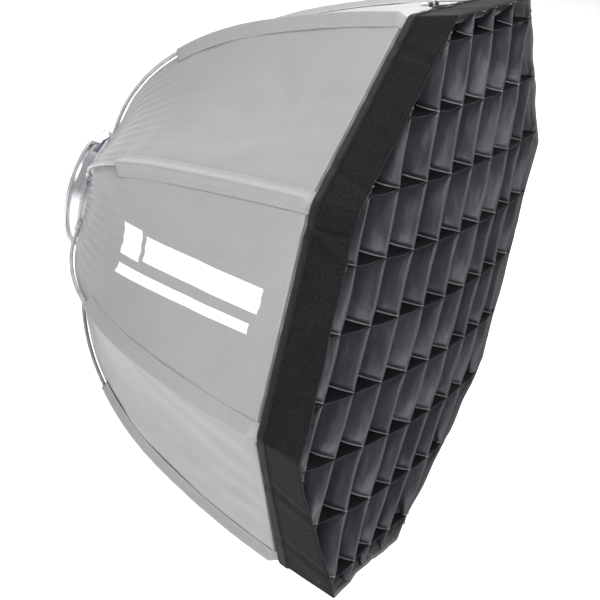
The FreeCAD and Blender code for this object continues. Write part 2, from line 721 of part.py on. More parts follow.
def grid_wall(place, slots_face_rear):
    """A wall drawn level at z = 0, with a slot at each wall that it crosses."""
    thick = size("grid_cloth")
    slot = size("grid_slot")
    wall = Part.Face(wall_outline(place)).extrude(Vector(0, 0, thick))
    slots = []
    for k in WALLS:
        cross = k * PITCH
        if abs(cross) > half_chord(inner_front, place) - slot:
            continue
        forward = (hang_at(place, cross) + hang_at(cross, place)) / 2
        shallower = min(depth_at(place, cross), depth_at(cross, place))
        middle = FRONT_Y + (shallower - forward) / 2
        start = middle - SLOT_SPARE if slots_face_rear else FRONT_Y - size("grid_bow") - 1
        end = FRONT_Y + size("grid_depth") + 1 if slots_face_rear else middle + SLOT_SPARE
        slots.append(Part.makeBox(slot, end - start, thick * 3, Vector(cross - slot / 2, start, -thick)))
    wall = wall.cut(Part.makeCompound(slots))
    wall.translate(Vector(0, 0, -thick / 2))
    return wall


for k in WALLS:
    row = grid_wall(k * PITCH, True)
    row.translate(Vector(0, 0, k * PITCH))
    shaped(f"grid_row_{k + 5}", row)
for k in WALLS:
    column = grid_wall(k * PITCH, False)
    column.rotate(Vector(), Vector(0, 1, 0), 90)
    column.translate(Vector(k * PITCH, 0, 0))
    shaped(f"grid_column_{k + 5}", column)

# ---- webbing tab and its two rings ------------------------------------------------------------------
# Drawn on a level skirt, then tipped to lie on the skirt's slope at the rear edge of the top panel.

slope = math.degrees(math.atan(number(TAPER)))
edge = Vector(size("tab_side"), -size("box_depth") + size("skirt_depth"), number(REAR_FLAT))
on_skirt = Placement(edge, Rotation(Vector(1, 0, 0), -slope))
EYE_RISE = 4.2
EYE_BACK = 3.4
EYE_BORE = size("ring_wire") + 0.25
EYE_SIZE = EYE_BORE + size("tab_thick")
EYE_HALF = 3.2
RING_SIDES = (-8.5, 8.5)
RING_LEG = 2.5
RING_STANDS = 78.0
lift = size("binding_cloth") + 0.1
half_tab = size("tab_width") / 2
tab_shape = Part.makeBox(size("tab_width"), size("tab_length"), size("tab_thick"),
                         Vector(-half_tab, -size("tab_length"), lift))
for side in RING_SIDES:
    start = Vector(side - EYE_HALF, EYE_BACK, EYE_RISE)
    eye = Part.makeCylinder(EYE_SIZE, EYE_HALF * 2, start, Vector(1, 0, 0))
    strap_in = Part.makeBox(EYE_HALF * 2, EYE_BACK + 2, size("tab_thick"),
                            Vector(side - EYE_HALF, -2, lift))
    bore = Part.makeCylinder(EYE_BORE, EYE_HALF * 4, start - Vector(EYE_HALF, 0, 0), Vector(1, 0, 0))
    tab_shape = tab_shape.fuse([eye, strap_in]).cut(bore)
tab_shape.Placement = on_skirt
shaped("tether_tab", tab_shape)

ring_radius = size("ring_radius")
straight = [Vector(-ring_radius, 0, 0), Vector(ring_radius, 0, 0)]
legs = [p + Vector(0, RING_LEG, 0) for p in straight]
ring_path = Part.Wire([
    Part.makeLine(*straight),
    Part.makeLine(straight[1], legs[1]),
    Part.Arc(legs[1], Vector(0, RING_LEG + ring_radius, 0), legs[0]).toShape(),
    Part.makeLine(legs[0], straight[0]),
])
ring_wire = Part.Wire(Part.makeCircle(size("ring_wire"), straight[0], Vector(1, 0, 0)))
ring_pipe = ring_path.makePipeShell([ring_wire], True, False, 1)
for number_on_tab, (side, lean) in enumerate(zip(RING_SIDES, (0.0, RING_STANDS)), start=1):
    name = f"tether_ring_{number_on_tab}"
    ring = ring_pipe.copy()
    seat = Placement(Vector(side, EYE_BACK, EYE_RISE), Rotation(Vector(1, 0, 0), lean))
    ring.Placement = on_skirt * seat
    shaped(name, ring)
    eye_at = on_skirt.multVec(Vector(side, EYE_BACK, EYE_RISE))
    print(f"{name} turns about X at {eye_at.x:.2f} {eye_at.y:.2f} {eye_at.z:.2f}")

# ---- checks and files -------------------------------------------------------------------------------

doc.recompute()
for item in doc.Objects:
    if {"Invalid", "Error"} & set(item.State):
        raise RuntimeError(f"{item.Label}: {item.State}")
os.makedirs("parts", exist_ok=True)
for piece in pieces:
    shape = piece.Shape
    if shape.isNull() or not shape.isValid() or shape.Volume <= 0:
        raise RuntimeError(f"{piece.Label}: bad shape")
    shape.exportStep(f"parts/{piece.Label}.step")
print(len(pieces), "sub-parts")
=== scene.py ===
"""An eight-sided softbox with a soft grid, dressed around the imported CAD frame.

Metres, in the row frame: +Y is the optical axis towards the flash head, light leaves towards -Y, +Z is up.
Rods, adapter, latch and rings are the CAD's own.  Every piece of cloth is made here.
"""
import math
import random

import bpy
import numpy as np
from mathutils import Matrix, Vector, noise


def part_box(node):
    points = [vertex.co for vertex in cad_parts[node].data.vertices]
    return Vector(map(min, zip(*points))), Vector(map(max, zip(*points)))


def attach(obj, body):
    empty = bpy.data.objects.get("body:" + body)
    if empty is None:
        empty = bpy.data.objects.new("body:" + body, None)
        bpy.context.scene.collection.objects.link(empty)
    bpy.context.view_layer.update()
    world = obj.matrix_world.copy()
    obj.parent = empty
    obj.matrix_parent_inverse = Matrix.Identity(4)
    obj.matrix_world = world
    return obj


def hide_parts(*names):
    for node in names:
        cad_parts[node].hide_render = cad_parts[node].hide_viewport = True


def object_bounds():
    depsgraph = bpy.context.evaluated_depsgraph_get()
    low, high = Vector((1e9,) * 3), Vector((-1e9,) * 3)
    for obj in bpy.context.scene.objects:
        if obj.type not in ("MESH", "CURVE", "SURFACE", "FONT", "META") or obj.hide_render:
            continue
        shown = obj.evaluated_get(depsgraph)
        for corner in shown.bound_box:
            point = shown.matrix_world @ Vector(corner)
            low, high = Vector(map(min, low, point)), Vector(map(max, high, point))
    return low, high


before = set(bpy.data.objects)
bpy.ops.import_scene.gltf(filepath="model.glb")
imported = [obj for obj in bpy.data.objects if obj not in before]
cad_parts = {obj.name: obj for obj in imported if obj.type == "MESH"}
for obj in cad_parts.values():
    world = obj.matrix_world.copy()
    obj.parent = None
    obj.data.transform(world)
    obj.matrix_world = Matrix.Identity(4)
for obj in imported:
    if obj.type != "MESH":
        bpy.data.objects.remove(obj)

CAD_BOX = [list(corner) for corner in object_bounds()]
MM = 0.001

# ---- sizes ------------------------------------------------------------------------------------------

SIDES = 8
EIGHTH = 2 * math.pi / SIDES
HALF = EIGHTH / 2
COS, SIN, TAN = math.cos(HALF), math.sin(HALF), math.tan(HALF)

skirt_low, skirt_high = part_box("skirt_panels")
FRONT = skirt_low[1]
SKIRT_REAR = skirt_high[1]
SKIRT_FLAT = skirt_high[0]
SKIRT_DEPTH = SKIRT_REAR - FRONT
SKIRT_TAPER = 0.947
SKIRT_CLOTH = 2 * MM
SKIRT_ROUND = 7 * MM
BINDING_WIDTH = 8 * MM

lip_low, lip_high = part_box("front_lip")
LIP_FLAT = lip_high[0]
LIP_FRONT, LIP_REAR = lip_low[1], lip_high[1]

# The rods' line, as the CAD draws it.
ROOT_ANGLE, TIP_ANGLE = math.radians(79.9), math.radians(15.7)
ROOT = np.array([71.8, -24.0]) * MM
REACH = 369 * MM
SPANS = [0.0, 0.12, 0.3, 0.6, 1.0]
SHELL_DROP = 3 * MM
SLEEVE_START = 128 * MM / REACH
SLEEVE_HALF = 11 * MM
SLEEVE_HUMP, SLEEVE_SPREAD = 6.2 * MM, 6.0 * MM
GORE_START = 0.14  # part of the rods' line where the shell leaves its collar and follows them
COLLAR = np.array([61.5, -31.6]) * MM

PITCH = 64.3 * MM
GRID_FLAT = SKIRT_FLAT - SKIRT_CLOTH - 0.4 * MM
GRID_LIP = 281 * MM * COS
GRID_DEPTH = 45 * MM
GRID_STEP = 20 * MM
GRID_BOW = 19 * MM
WALLS = range(-4, 5)

diffuser_low, diffuser_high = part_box("front_diffuser")
baffle_low, baffle_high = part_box("inner_baffle")

# ---- materials --------------------------------------------------------------------------------------


def feed(tree, socket, value):
    """Sets a socket from a constant, or links another socket to it."""
    if isinstance(value, bpy.types.NodeSocket):
        tree.links.new(value, socket)
    else:
        socket.default_value = value


def calc(tree, operation, *values):
    node = tree.nodes.new("ShaderNodeMath")
    node.operation = operation
    for socket, value in zip(node.inputs, values):
        feed(tree, socket, value)
    return node.outputs[0]


def mixed(tree, amount, first, second):
    node = tree.nodes.new("ShaderNodeMix")
    node.data_type = "RGBA"
    feed(tree, node.inputs[0], amount)
    feed(tree, node.inputs[6], first)
    feed(tree, node.inputs[7], second)
    return node.outputs[2]


def grain(tree, coords, scale, detail=3.0, stretch=None):
    """Noise from 0 to 1 at a scale in cycles a metre."""
    if stretch:
        mapping = tree.nodes.new("ShaderNodeMapping")
        mapping.inputs["Scale"].default_value = stretch
        tree.links.new(coords, mapping.inputs["Vector"])
        coords = mapping.outputs["Vector"]
    node = tree.nodes.new("ShaderNodeTexNoise")
    node.inputs["Scale"].default_value = scale
    node.inputs["Detail"].default_value = detail
    tree.links.new(coords, node.inputs["Vector"])
    return node.outputs[0]


def span(tree, value, low, high):
    """Maps 0..1 to low..high, from a narrower band of the noise for more contrast."""
    node = tree.nodes.new("ShaderNodeMapRange")
    feed(tree, node.inputs[0], value)
    for socket, number in zip(node.inputs[1:5], (0.3, 0.7, low, high)):
        socket.default_value = number
    return node.outputs[0]


def grey(level, tint=(1.0, 1.0, 1.0)):
    return (level * tint[0], level * tint[1], level * tint[2], 1.0)


def begin(name, roughness, **sockets):
    """A material with its shader's constants set: its tree, its shader and object coordinates."""
    material = bpy.data.materials.new(name)
    material.use_nodes = True
    tree = material.node_tree
    shader = tree.nodes["Principled BSDF"]
    shader.inputs["Roughness"].default_value = roughness
    for label, value in sockets.items():
        shader.inputs[label.replace("_", " ")].default_value = value
    place = tree.nodes.new("ShaderNodeTexCoord").outputs["Object"]
    return material, tree, shader, place


def bump(tree, shader, height, distance, strength=1.0):
    node = tree.nodes.new("ShaderNodeBump")
    node.inputs["Strength"].default_value = strength
    node.inputs["Distance"].default_value = distance
    feed(tree, node.inputs["Height"], height)
    tree.links.new(node.outputs[0], shader.inputs["Normal"])


def cloth_axes(tree):
    """The cut's own coordinates, in metres: as a vector, along and across."""
    node = tree.nodes.new("ShaderNodeAttribute")
    node.attribute_name = "cloth"
    split = tree.nodes.new("ShaderNodeSeparateXYZ")
    tree.links.new(node.outputs["Vector"], split.inputs[0])
    return node.outputs["Vector"], split.outputs[0], split.outputs[1]


def weave(tree, along, across, pitch):
    """A plain weave's height, from -1 to 1."""
    turns = math.tau / pitch
    waves = [calc(tree, "SINE", calc(tree, "MULTIPLY", axis, turns)) for axis in (along, across)]
    return calc(tree, "MULTIPLY", *waves)


def ripstop(tree, along, across, pitch, share):
    """1 on a square net of reinforcing threads, 0 between them."""
    lines = []
    for axis in (along, across):
        place = calc(tree, "FRACT", calc(tree, "DIVIDE", axis, pitch))
        lines.append(calc(tree, "LESS_THAN", place, share))
    return calc(tree, "MAXIMUM", *lines)


def bar_mask(tree, along, across, centre, size):
    """1 inside a plain bar drawn on the cloth."""
    inside = [calc(tree, "LESS_THAN", calc(tree, "ABSOLUTE", calc(tree, "SUBTRACT", axis, middle)), whole / 2)
              for axis, middle, whole in zip((along, across), centre, size)]
    return calc(tree, "MULTIPLY", *inside)


def shell_cloth(name, bars=()):
    """Pale grey ripstop; bars are plain white printed bars, as (centre, size) on the cut."""
    material, tree, shader, place = begin(name, 0.62, Sheen_Weight=0.25, Sheen_Roughness=0.5)
    _, along, across = cloth_axes(tree)
    net = ripstop(tree, along, across, 5 * MM, 0.09)
    broad = grain(tree, place, 9, 4)
    base = mixed(tree, span(tree, broad, 0, 1), grey(0.270), grey(0.298))
    base = mixed(tree, calc(tree, "MULTIPLY", net, 0.2), base, grey(0.235))
    for centre, size in bars:
        base = mixed(tree, bar_mask(tree, along, across, centre, size), base, grey(0.93))
    tree.links.new(base, shader.inputs["Base Color"])
    height = calc(tree, "ADD", calc(tree, "MULTIPLY", weave(tree, along, across, 0.9 * MM), 0.25), net)
    fine = calc(tree, "MULTIPLY", grain(tree, place, 300, 2), 0.8)
    bump(tree, shader, calc(tree, "ADD", height, fine), 0.12 * MM, 0.7)
    return material


def silver_lining():
    """The reflective inside of the shell: pebbled silver."""
    material, tree, shader, place = begin("silver_lining", 0.34, Metallic=0.85)
    base = mixed(tree, grain(tree, place, 30, 3), grey(0.72), grey(0.86))
    tree.links.new(base, shader.inputs["Base Color"])
    cells = tree.nodes.new("ShaderNodeTexVoronoi")
    cells.inputs["Scale"].default_value = 420
    tree.links.new(place, cells.inputs["Vector"])
    bump(tree, shader, cells.outputs[0], 0.25 * MM, 0.6)
    return material


def loop_cloth():
    """Near-black brushed loop cloth: a fuzz of fine curls."""
    material, tree, shader, place = begin("loop_cloth", 0.95, Specular_IOR_Level=0.06, Sheen_Weight=0.05,
                                          Sheen_Roughness=0.5)
    curls = grain(tree, place, 950, 3)
    worn = grain(tree, place, 18, 3)
    base = mixed(tree, span(tree, curls, 0, 1), grey(0.001), grey(0.022, (1, 1, 1.03)))
    base = mixed(tree, span(tree, worn, 0, 0.3), base, grey(0.003))
    tree.links.new(base, shader.inputs["Base Color"])
    height = calc(tree, "ADD", curls, calc(tree, "MULTIPLY", grain(tree, place, 600, 3), 1.5))
    bump(tree, shader, height, 0.35 * MM, 0.7)
    return material


def ribbon(name, level, pitch=1.1 * MM, roughness=0.7):
    """Woven tape, binding or webbing."""
    material, tree, shader, place = begin(name, roughness, Sheen_Weight=0.1, Specular_IOR_Level=0.2)
    _, along, across = cloth_axes(tree)
    twill = weave(tree, calc(tree, "ADD", along, across), across, pitch)
    fade = grain(tree, place, 60, 3)
    base = mixed(tree, span(tree, fade, 0, 1), grey(level * 0.75), grey(level * 1.3))
    base = mixed(tree, calc(tree, "MULTIPLY", calc(tree, "ADD", twill, 1), 0.2), base, grey(level * 0.4))
    tree.links.new(base, shader.inputs["Base Color"])
    bump(tree, shader, twill, 0.25 * MM, 0.8)
    return material


def grid_cloth(name, level, roughness=0.4, gloss=0.7, sheen=0.25):
    """Navy-black satin of the grid: glossy weft, soft creases."""
    material, tree, shader, place = begin(name, roughness, Sheen_Weight=sheen, Sheen_Roughness=0.35,
                                          Specular_IOR_Level=gloss, Anisotropic=0.4)
    _, along, across = cloth_axes(tree)
    streaks = grain(tree, place, 26, 4, (1.0, 1.0, 0.35))
    base = mixed(tree, span(tree, streaks, 0, 1), grey(level * 0.7, (0.85, 0.95, 1.3)),
                 grey(level * 1.35, (0.88, 0.96, 1.25)))
    speckle = grain(tree, place, 900, 2)
    base = mixed(tree, span(tree, speckle, 0, 0.25), base, grey(level * 1.9, (0.95, 0.98, 1.1)))
    tree.links.new(base, shader.inputs["Base Color"])
    creases = calc(tree, "MULTIPLY", grain(tree, place, 42, 5, (1.0, 1.0, 0.5)), 10.0)
    height = calc(tree, "ADD", calc(tree, "MULTIPLY", weave(tree, along, across, 0.8 * MM), 0.2), creases)
    bump(tree, shader, height, 0.5 * MM, 0.55)
    return material


def thread(name, level):
    material, tree, shader, place = begin(name, 0.6, Sheen_Weight=0.05, Specular_IOR_Level=0.2)
    twist = grain(tree, place, 2600, 2)
    base = mixed(tree, span(tree, twist, 0, 1), grey(level * 0.7), grey(level * 1.3))
    tree.links.new(base, shader.inputs["Base Color"])
    bump(tree, shader, twist, 0.15 * MM, 0.6)
    return material


def diffusion_cloth():
    material, tree, shader, place = begin("diffusion_cloth", 0.75, Sheen_Weight=0.2, Subsurface_Weight=0.25,
                                          Subsurface_Scale=0.004)
    _, along, across = cloth_axes(tree)
    base = mixed(tree, span(tree, grain(tree, place, 40, 3), 0, 1), grey(0.80), grey(0.86))
    tree.links.new(base, shader.inputs["Base Color"])
    bump(tree, shader, weave(tree, along, across, 0.7 * MM), 0.12 * MM, 0.7)
    return material


def turned_metal(name, level, low, high, tint=(1, 1, 1)):
    """Lathe-turned metal: fine rings about the optical axis."""
    material, tree, shader, place = begin(name, low, Metallic=1.0)
    rings = grain(tree, place, 6, 5, (1.0, 320.0, 1.0))
    smears = grain(tree, place, 45, 3)
    base = mixed(tree, span(tree, smears, 0, 0.5), grey(level, tint), grey(level * 0.82, tint))
    tree.links.new(base, shader.inputs["Base Color"])
    tree.links.new(span(tree, rings, low, high), shader.inputs["Roughness"])
    bump(tree, shader, rings, 0.03 * MM, 0.35)
    return material


def painted(name, level, roughness, metallic=0.0, tint=(1, 1, 1)):
    """Powder coat, plastic or rubber with a fine orange peel and light wear."""
    material, tree, shader, place = begin(name, roughness, Metallic=metallic)
    wear = grain(tree, place, 120, 5)
    base = mixed(tree, span(tree, wear, 0, 1), grey(level * 0.85, tint), grey(level * 1.2, tint))
    tree.links.new(base, shader.inputs["Base Color"])
    peel = grain(tree, place, 1400, 2)
    tree.links.new(span(tree, wear, roughness * 0.85, min(1.0, roughness * 1.15)), shader.inputs["Roughness"])
    bump(tree, shader, peel, 0.06 * MM, 0.5)
    return material


# ---- mesh tools -------------------------------------------------------------------------------------


def around(points, angle):
    """Turns points drawn at +X round the optical axis."""
    x, y, z = points[..., 0], points[..., 1], points[..., 2]
    c, s = math.cos(angle), math.sin(angle)
    return np.stack([x * c - z * s, y, x * s + z * c], -1)


def new_piece(name, verts, faces, body, materials, coords=None, smooth=True):
    mesh = bpy.data.meshes.new(name)
    mesh.from_pydata([tuple(v) for v in verts], [], faces)
    if coords is not None:
        layer = mesh.attributes.new("cloth", "FLOAT_VECTOR", "POINT")
        layer.data.foreach_set("vector", np.asarray(coords, np.float32).ravel())
    for material in materials:
        mesh.materials.append(material)
    mesh.polygons.foreach_set("use_smooth", [smooth] * len(mesh.polygons))
    mesh.update()
    piece = bpy.data.objects.new(name, mesh)
    bpy.context.scene.collection.objects.link(piece)
    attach(piece, body)
    return piece


def arc_lengths(points, axis):
    steps = np.linalg.norm(np.diff(points, axis=axis), axis=-1)
    zero = np.zeros_like(np.take(steps, [0], axis))
    return np.concatenate([zero, np.cumsum(steps, axis)], axis)


def thicken(piece, thickness, offset=-1.0, inside=0, rim=0):
    solid = piece.modifiers.new("cloth_thickness", "SOLIDIFY")
    solid.thickness = thickness
    solid.offset = offset
    solid.material_offset = inside
    solid.material_offset_rim = rim
    return piece


def cloth(name, points, body, materials, wrap=False):
    """One layer of cloth over a [rows, columns, 3] net; its right side is columns turned to rows."""
    rows, columns = points.shape[:2]
    last = columns if wrap else columns - 1
    faces = [(i * columns + j, i * columns + (j + 1) % columns, (i + 1) * columns + (j + 1) % columns,
              (i + 1) * columns + j) for i in range(rows - 1) for j in range(last)]
    across = arc_lengths(points, 1)
    across = across - across[:, -1:] / 2
    coords = np.stack([arc_lengths(points, 0), across, np.zeros((rows, columns))], -1)
    return new_piece(name, points.reshape(-1, 3), faces, body, materials, coords.reshape(-1, 3))


def merged(parts):
    """Joins (verts, faces) pairs into one pair."""
    verts, faces, count = [], [], 0
    for part_verts, part_faces in parts:
        verts.append(np.asarray(part_verts))
        faces += [tuple(i + count for i in face) for face in part_faces]
        count += len(part_verts)
    return np.concatenate(verts), faces


STITCH_FACES = [(0, 2, 4), (0, 4, 3), (0, 3, 5), (0, 5, 2), (1, 4, 2), (1, 3, 4), (1, 5, 3), (1, 2, 5)]


def stitch_row(line, normals, pitch, length, wide, tall, crosswise=False):
    """Raised stitches at an even pitch along a line; crosswise turns each one over the edge."""
    run = arc_lengths(line, 0)
    parts = []
    for place in np.arange(pitch / 2, run[-1] - pitch / 4, pitch):
        centre = np.array([np.interp(place, run, line[:, k]) for k in range(3)])
        ahead = np.array([np.interp(place + pitch / 4, run, line[:, k]) for k in range(3)])
        up = np.array([np.interp(place, run, normals[:, k]) for k in range(3)])
        way = (ahead - centre) / max(np.linalg.norm(ahead - centre), 1e-9)
        up = up / max(np.linalg.norm(up), 1e-9)
        side = np.cross(way, up)
        if crosswise:
            way, side = side, way
        parts.append((np.array([centre - way * length / 2, centre + way * length / 2,
                                centre - side * wide / 2, centre + side * wide / 2,
                                centre + up * tall, centre - up * tall]), STITCH_FACES))
    return parts


def sewing(name, rows, body, material):
    verts, faces = merged([part for row in rows for part in row])
    return new_piece(name, verts, faces, body, [material])


def cloth_noise(points, scale, seed):
    """Smooth noise from -1 to 1 at each point of a net."""
    flat = points.reshape(-1, 3) * scale
    values = [noise.noise(Vector((p[0] + seed, p[1] - seed, p[2] + 2 * seed))) for p in flat]
    return np.array(values).reshape(points.shape[:-1])


PER_SIDE, PER_CORNER = 48, 5


def octagon_loop(flat, rounding, per_side=PER_SIDE, per_corner=PER_CORNER):
    """Places, outward normals and runs round an octagon with rounded corners, in (x, z)."""
    places, normals = [], []
    reach = (flat - rounding) * TAN
    for k in range(SIDES):
        angle = k * EIGHTH
        out = np.array([math.cos(angle), math.sin(angle)])
        way = np.array([-math.sin(angle), math.cos(angle)])
        for along in np.linspace(-reach, reach, per_side):
            places.append(out * flat + way * along)
            normals.append(out)
        ridge = angle + HALF
        centre = np.array([math.cos(ridge), math.sin(ridge)]) * (flat - rounding) / COS
        for turn in np.linspace(0, EIGHTH, per_corner + 2)[1:-1]:
            out = np.array([math.cos(angle + turn), math.sin(angle + turn)])
            places.append(centre + out * rounding)
            normals.append(out)
    return np.array(places), np.array(normals)


def lifted(loop, y):
    return np.stack([loop[:, 0], np.full(len(loop), y), loop[:, 1]], -1)


# ---- rods' line -------------------------------------------------------------------------------------


def way_at(slope):
    return np.array([math.sin(slope), -math.cos(slope)])


def out_at(slope):
    return np.array([math.cos(slope), math.sin(slope)])


def slope_at(part):
    return TIP_ANGLE + (ROOT_ANGLE - TIP_ANGLE) * (1 - part)**2


def rod_bends():
    """Centre, radius and end slopes of each arc of a flexed rod."""
    point, bends = ROOT, []
    for start, end in zip(SPANS, SPANS[1:]):
        steep, easy = slope_at(start), slope_at(end)
        radius = (end - start) * REACH / (steep - easy)
        centre = point - out_at(steep) * radius
        bends.append((centre, radius, steep, easy))
        point = centre + out_at(easy) * radius
    return bends


BENDS = rod_bends()


def flexed(part, offset=0.0):
    """(radius, y) and way of a rod at a part of its reach, moved out by offset."""
    index = next(i for i in range(len(BENDS)) if part <= SPANS[i + 1])
    centre, radius, steep, easy = BENDS[index]
    slope = steep + (easy - steep) * (part - SPANS[index]) / (SPANS[index + 1] - SPANS[index])
    return centre + out_at(slope) * (radius + offset), way_at(slope)


# ---- shell ------------------------------------------------------------------------------------------

GORE_ROWS, GORE_COLUMNS = 110, 61
TUCKED_ROWS = 6
SAG = 6 * MM
PLEATS = 13
PRINTED_GORE = 5
# Plain white bars on the cut, as (centre, size), each (along, across) in metres.
PRINT_BARS = [
    ((0.161, -0.007), (0.030, 0.030)),
    ((0.257, -0.007), (0.150, 0.024)),
    ((0.238, 0.021), (0.176, 0.010)),
]


def ridge_line():
    """The shell under a rod, (radius, y) at even steps from the collar to the lip."""
    meet, way = flexed(GORE_START, -SHELL_DROP)
    control = meet - way * np.linalg.norm(meet - COLLAR) * 0.5
    points = [COLLAR * (1 - t)**2 + control * 2 * t * (1 - t) + meet * t**2 for t in np.linspace(0, 1, 12)]
    points += [flexed(part, -SHELL_DROP)[0] for part in np.linspace(GORE_START, 1, 40)[1:]]
    tip, way = flexed(1.0, -SHELL_DROP)
    points = [p for p in points if p[1] > LIP_REAR + 1 * MM]
    points.append(tip + way * (LIP_REAR - tip[1]) / way[1])
    points = np.array(points)
    run = arc_lengths(points, 0)
    even = np.linspace(0, run[-1], GORE_ROWS)
    return np.stack([np.interp(even, run, points[:, k]) for k in range(2)], -1), even


RIDGE, RIDGE_RUN = ridge_line()


def gore_points(k):
    """One gore: straight across at its ends, drawn in a little between the rods, and creased."""
    v = np.linspace(-1, 1, GORE_COLUMNS)[None, :]
    radius, y = RIDGE[:, :1], RIDGE[:, 1:]
    run = RIDGE_RUN[:, None]
    whole = RIDGE_RUN[-1]
    round_share = np.exp(-run / (28 * MM))
    theta = v * HALF
    x = radius * (COS * (1 - round_share) + np.cos(theta) * round_share)
    z = radius * (SIN * v * (1 - round_share) + np.sin(theta) * round_share)
    flat = np.stack([x, np.broadcast_to(y, x.shape), z], -1)
    slope = np.gradient(RIDGE, axis=0)
    normal = np.stack([-slope[:, 1], slope[:, 0]], -1)
    normal /= np.linalg.norm(normal, axis=1, keepdims=True)
    held = (1 - v**2)
    ends = np.clip(run / (12 * MM), 0, 1) * np.clip((whole - run) / (25 * MM), 0, 1)
    sag = -SAG * held**2 * np.sin(np.pi * run / whole)**0.8
    soft = cloth_noise(flat, 9, k * 7.3)
    waver = cloth_noise(flat, 24, k * 3.1)
    gather = np.exp(-run / (60 * MM)) * 2.2 * MM
    pleat = np.cos(np.pi * PLEATS * v + 5 * soft + 2.2 * k)
    pull = np.exp(-(whole - run) / (70 * MM)) * 1.0 * MM
    fold = np.cos(np.pi * 5 * v + 4 * soft + k)
    lines = np.cos(26 * (run / whole) + 6 * v * v + 7 * soft + k) * 0.5 * MM
    crease = gather * pleat + pull * fold + lines + soft * 2.6 * MM + waver * 0.9 * MM
    moved = sag + crease * held**0.5 * ends
    local = flat + normal[:, None, [0, 1, 1]] * moved[..., None] * np.array([1, 1, 0])
    return around(local, (k - 1) * EIGHTH)


def sleeve_section(part):
    """Points and outward normals across a sleeve at a part of the rod's reach, drawn at +X."""
    point, way = flexed(part)
    out = np.array([-way[1], way[0]])
    fall = TAN * -way[1]
    x = np.linspace(-SLEEVE_HALF, SLEEVE_HALF, 23)
    hump = SLEEVE_HUMP * np.exp(-np.abs(x / SLEEVE_SPREAD)**2)
    rise = -SHELL_DROP + 0.55 * MM - np.abs(x) * fall + hump
    return np.stack([point[0] + out[0] * rise, point[1] + out[1] * rise, x], -1), out


def make_shell():
    """Gores with their lining, and the sleeves sewn along the ridges."""
    plain = shell_cloth("shell_cloth")
    printed = shell_cloth("shell_cloth_printed", PRINT_BARS)
    lining = silver_lining()
    seam_thread = thread("shell_thread", 0.40)
    for k in range(1, SIDES + 1):
        gore = cloth(f"gore_{k}", gore_points(k), "softbox",
                     [printed if k == PRINTED_GORE else plain, lining])
        thicken(gore, 1.0 * MM, inside=1)
        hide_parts(f"shell_gore_{k}")
    parts = SLEEVE_START + (1 - SLEEVE_START) * np.linspace(0, 1, 90)
    sections = [sleeve_section(part) for part in parts]
    strip = np.stack([points for points, _ in sections])
    # The last rows run on under the skirt and lie down on the lip.
    tucked = np.copy(strip[-1])
    tucked[:, 0] = (LIP_FLAT + 1.3 * MM) / COS - np.abs(tucked[:, 2]) * TAN
    tucked[:, 1] = LIP_REAR - 9 * MM
    ending = np.linspace(0, 1, TUCKED_ROWS + 1)[1:, None, None]
    strip = np.concatenate([strip, strip[-1] * (1 - ending) + tucked * ending])
    pucker = cloth_noise(strip, 140, 4.2)
    strip[..., 0] += pucker * 0.25 * MM
    out = np.array([[o[0], o[1], 0] for _, o in sections + sections[-1:] * TUCKED_ROWS])
    rows = []
    for k in range(SIDES):
        angle = k * EIGHTH + HALF
        sleeve = cloth(f"sleeve_{k + 1}", around(strip, angle), "softbox", [plain])
        thicken(sleeve, 0.6 * MM)
        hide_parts("rod_sleeves")
        for column in (1, 4, 18, 21):
            rows.append(stitch_row(around(strip[:, column], angle), around(out, angle), 4.2 * MM, 3.1 * MM,
                                   0.8 * MM, 0.45 * MM))
    sewing("sleeve_stitches", rows, "softbox", seam_thread)


def make_hem_and_lip():
    """Gathered elastic hem at the collar, and the lip and ledge that the skirt and diffuser close on."""
    hem_low, hem_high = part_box("rear_hem")
    count = 256
    angle = np.linspace(0, 2 * math.pi, count, endpoint=False)
    middle_y = (hem_low[1] + hem_high[1]) / 2
    half = (hem_high[1] - hem_low[1]) / 2
    rows = []
    for turn in np.linspace(0, 2 * math.pi, 11)[:-1]:
        ruffle = 0.5 * MM * np.cos(64 * angle) * max(0.0, math.sin(turn))
        radius = hem_high[0] - 1.4 * MM + 1.2 * MM * math.sin(turn) + ruffle
        rows.append(np.stack([radius * np.cos(angle), np.full(count, middle_y + half * math.cos(turn)),
                              radius * np.sin(angle)], -1))
    rows.append(rows[0])
    hem = cloth("gathered_hem", np.stack(rows), "softbox", [ribbon("hem_elastic", 0.35)],
                wrap=True)
    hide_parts("rear_hem")

    plain = ribbon("lip_webbing", 0.30, 1.4 * MM)
    tape = ribbon("closure_tape", 0.035, 0.9 * MM, 0.9)
    lip = []
    for y in np.linspace(LIP_REAR, LIP_FRONT, 9):
        loop, normals = octagon_loop(LIP_FLAT, 3 * MM)
        wave = cloth_noise(lifted(loop, y), 30, 2.0)
        lip.append(lifted(loop - normals * (0.15 + 0.25 * wave[:, None]) * MM, y))
    lip = np.stack(lip)
    band = thicken(cloth("front_band", lip, "softbox", [plain], wrap=True), 1.0 * MM)
    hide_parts("front_lip")
    ledge_low, ledge_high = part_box("diffuser_ledge")
    inner = []
    for share in np.linspace(0, 1, 6):
        loop, _ = octagon_loop(ledge_high[0] - 18 * MM * share, 3 * MM)
        inner.append(lifted(loop, ledge_low[1]))
    inner = np.stack(inner)
    ledge = thicken(cloth("ledge_tape", inner, "softbox", [tape], wrap=True), 0.8 * MM, offset=1.0)
    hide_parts("diffuser_ledge")


# ---- diffusers --------------------------------------------------------------------------------------


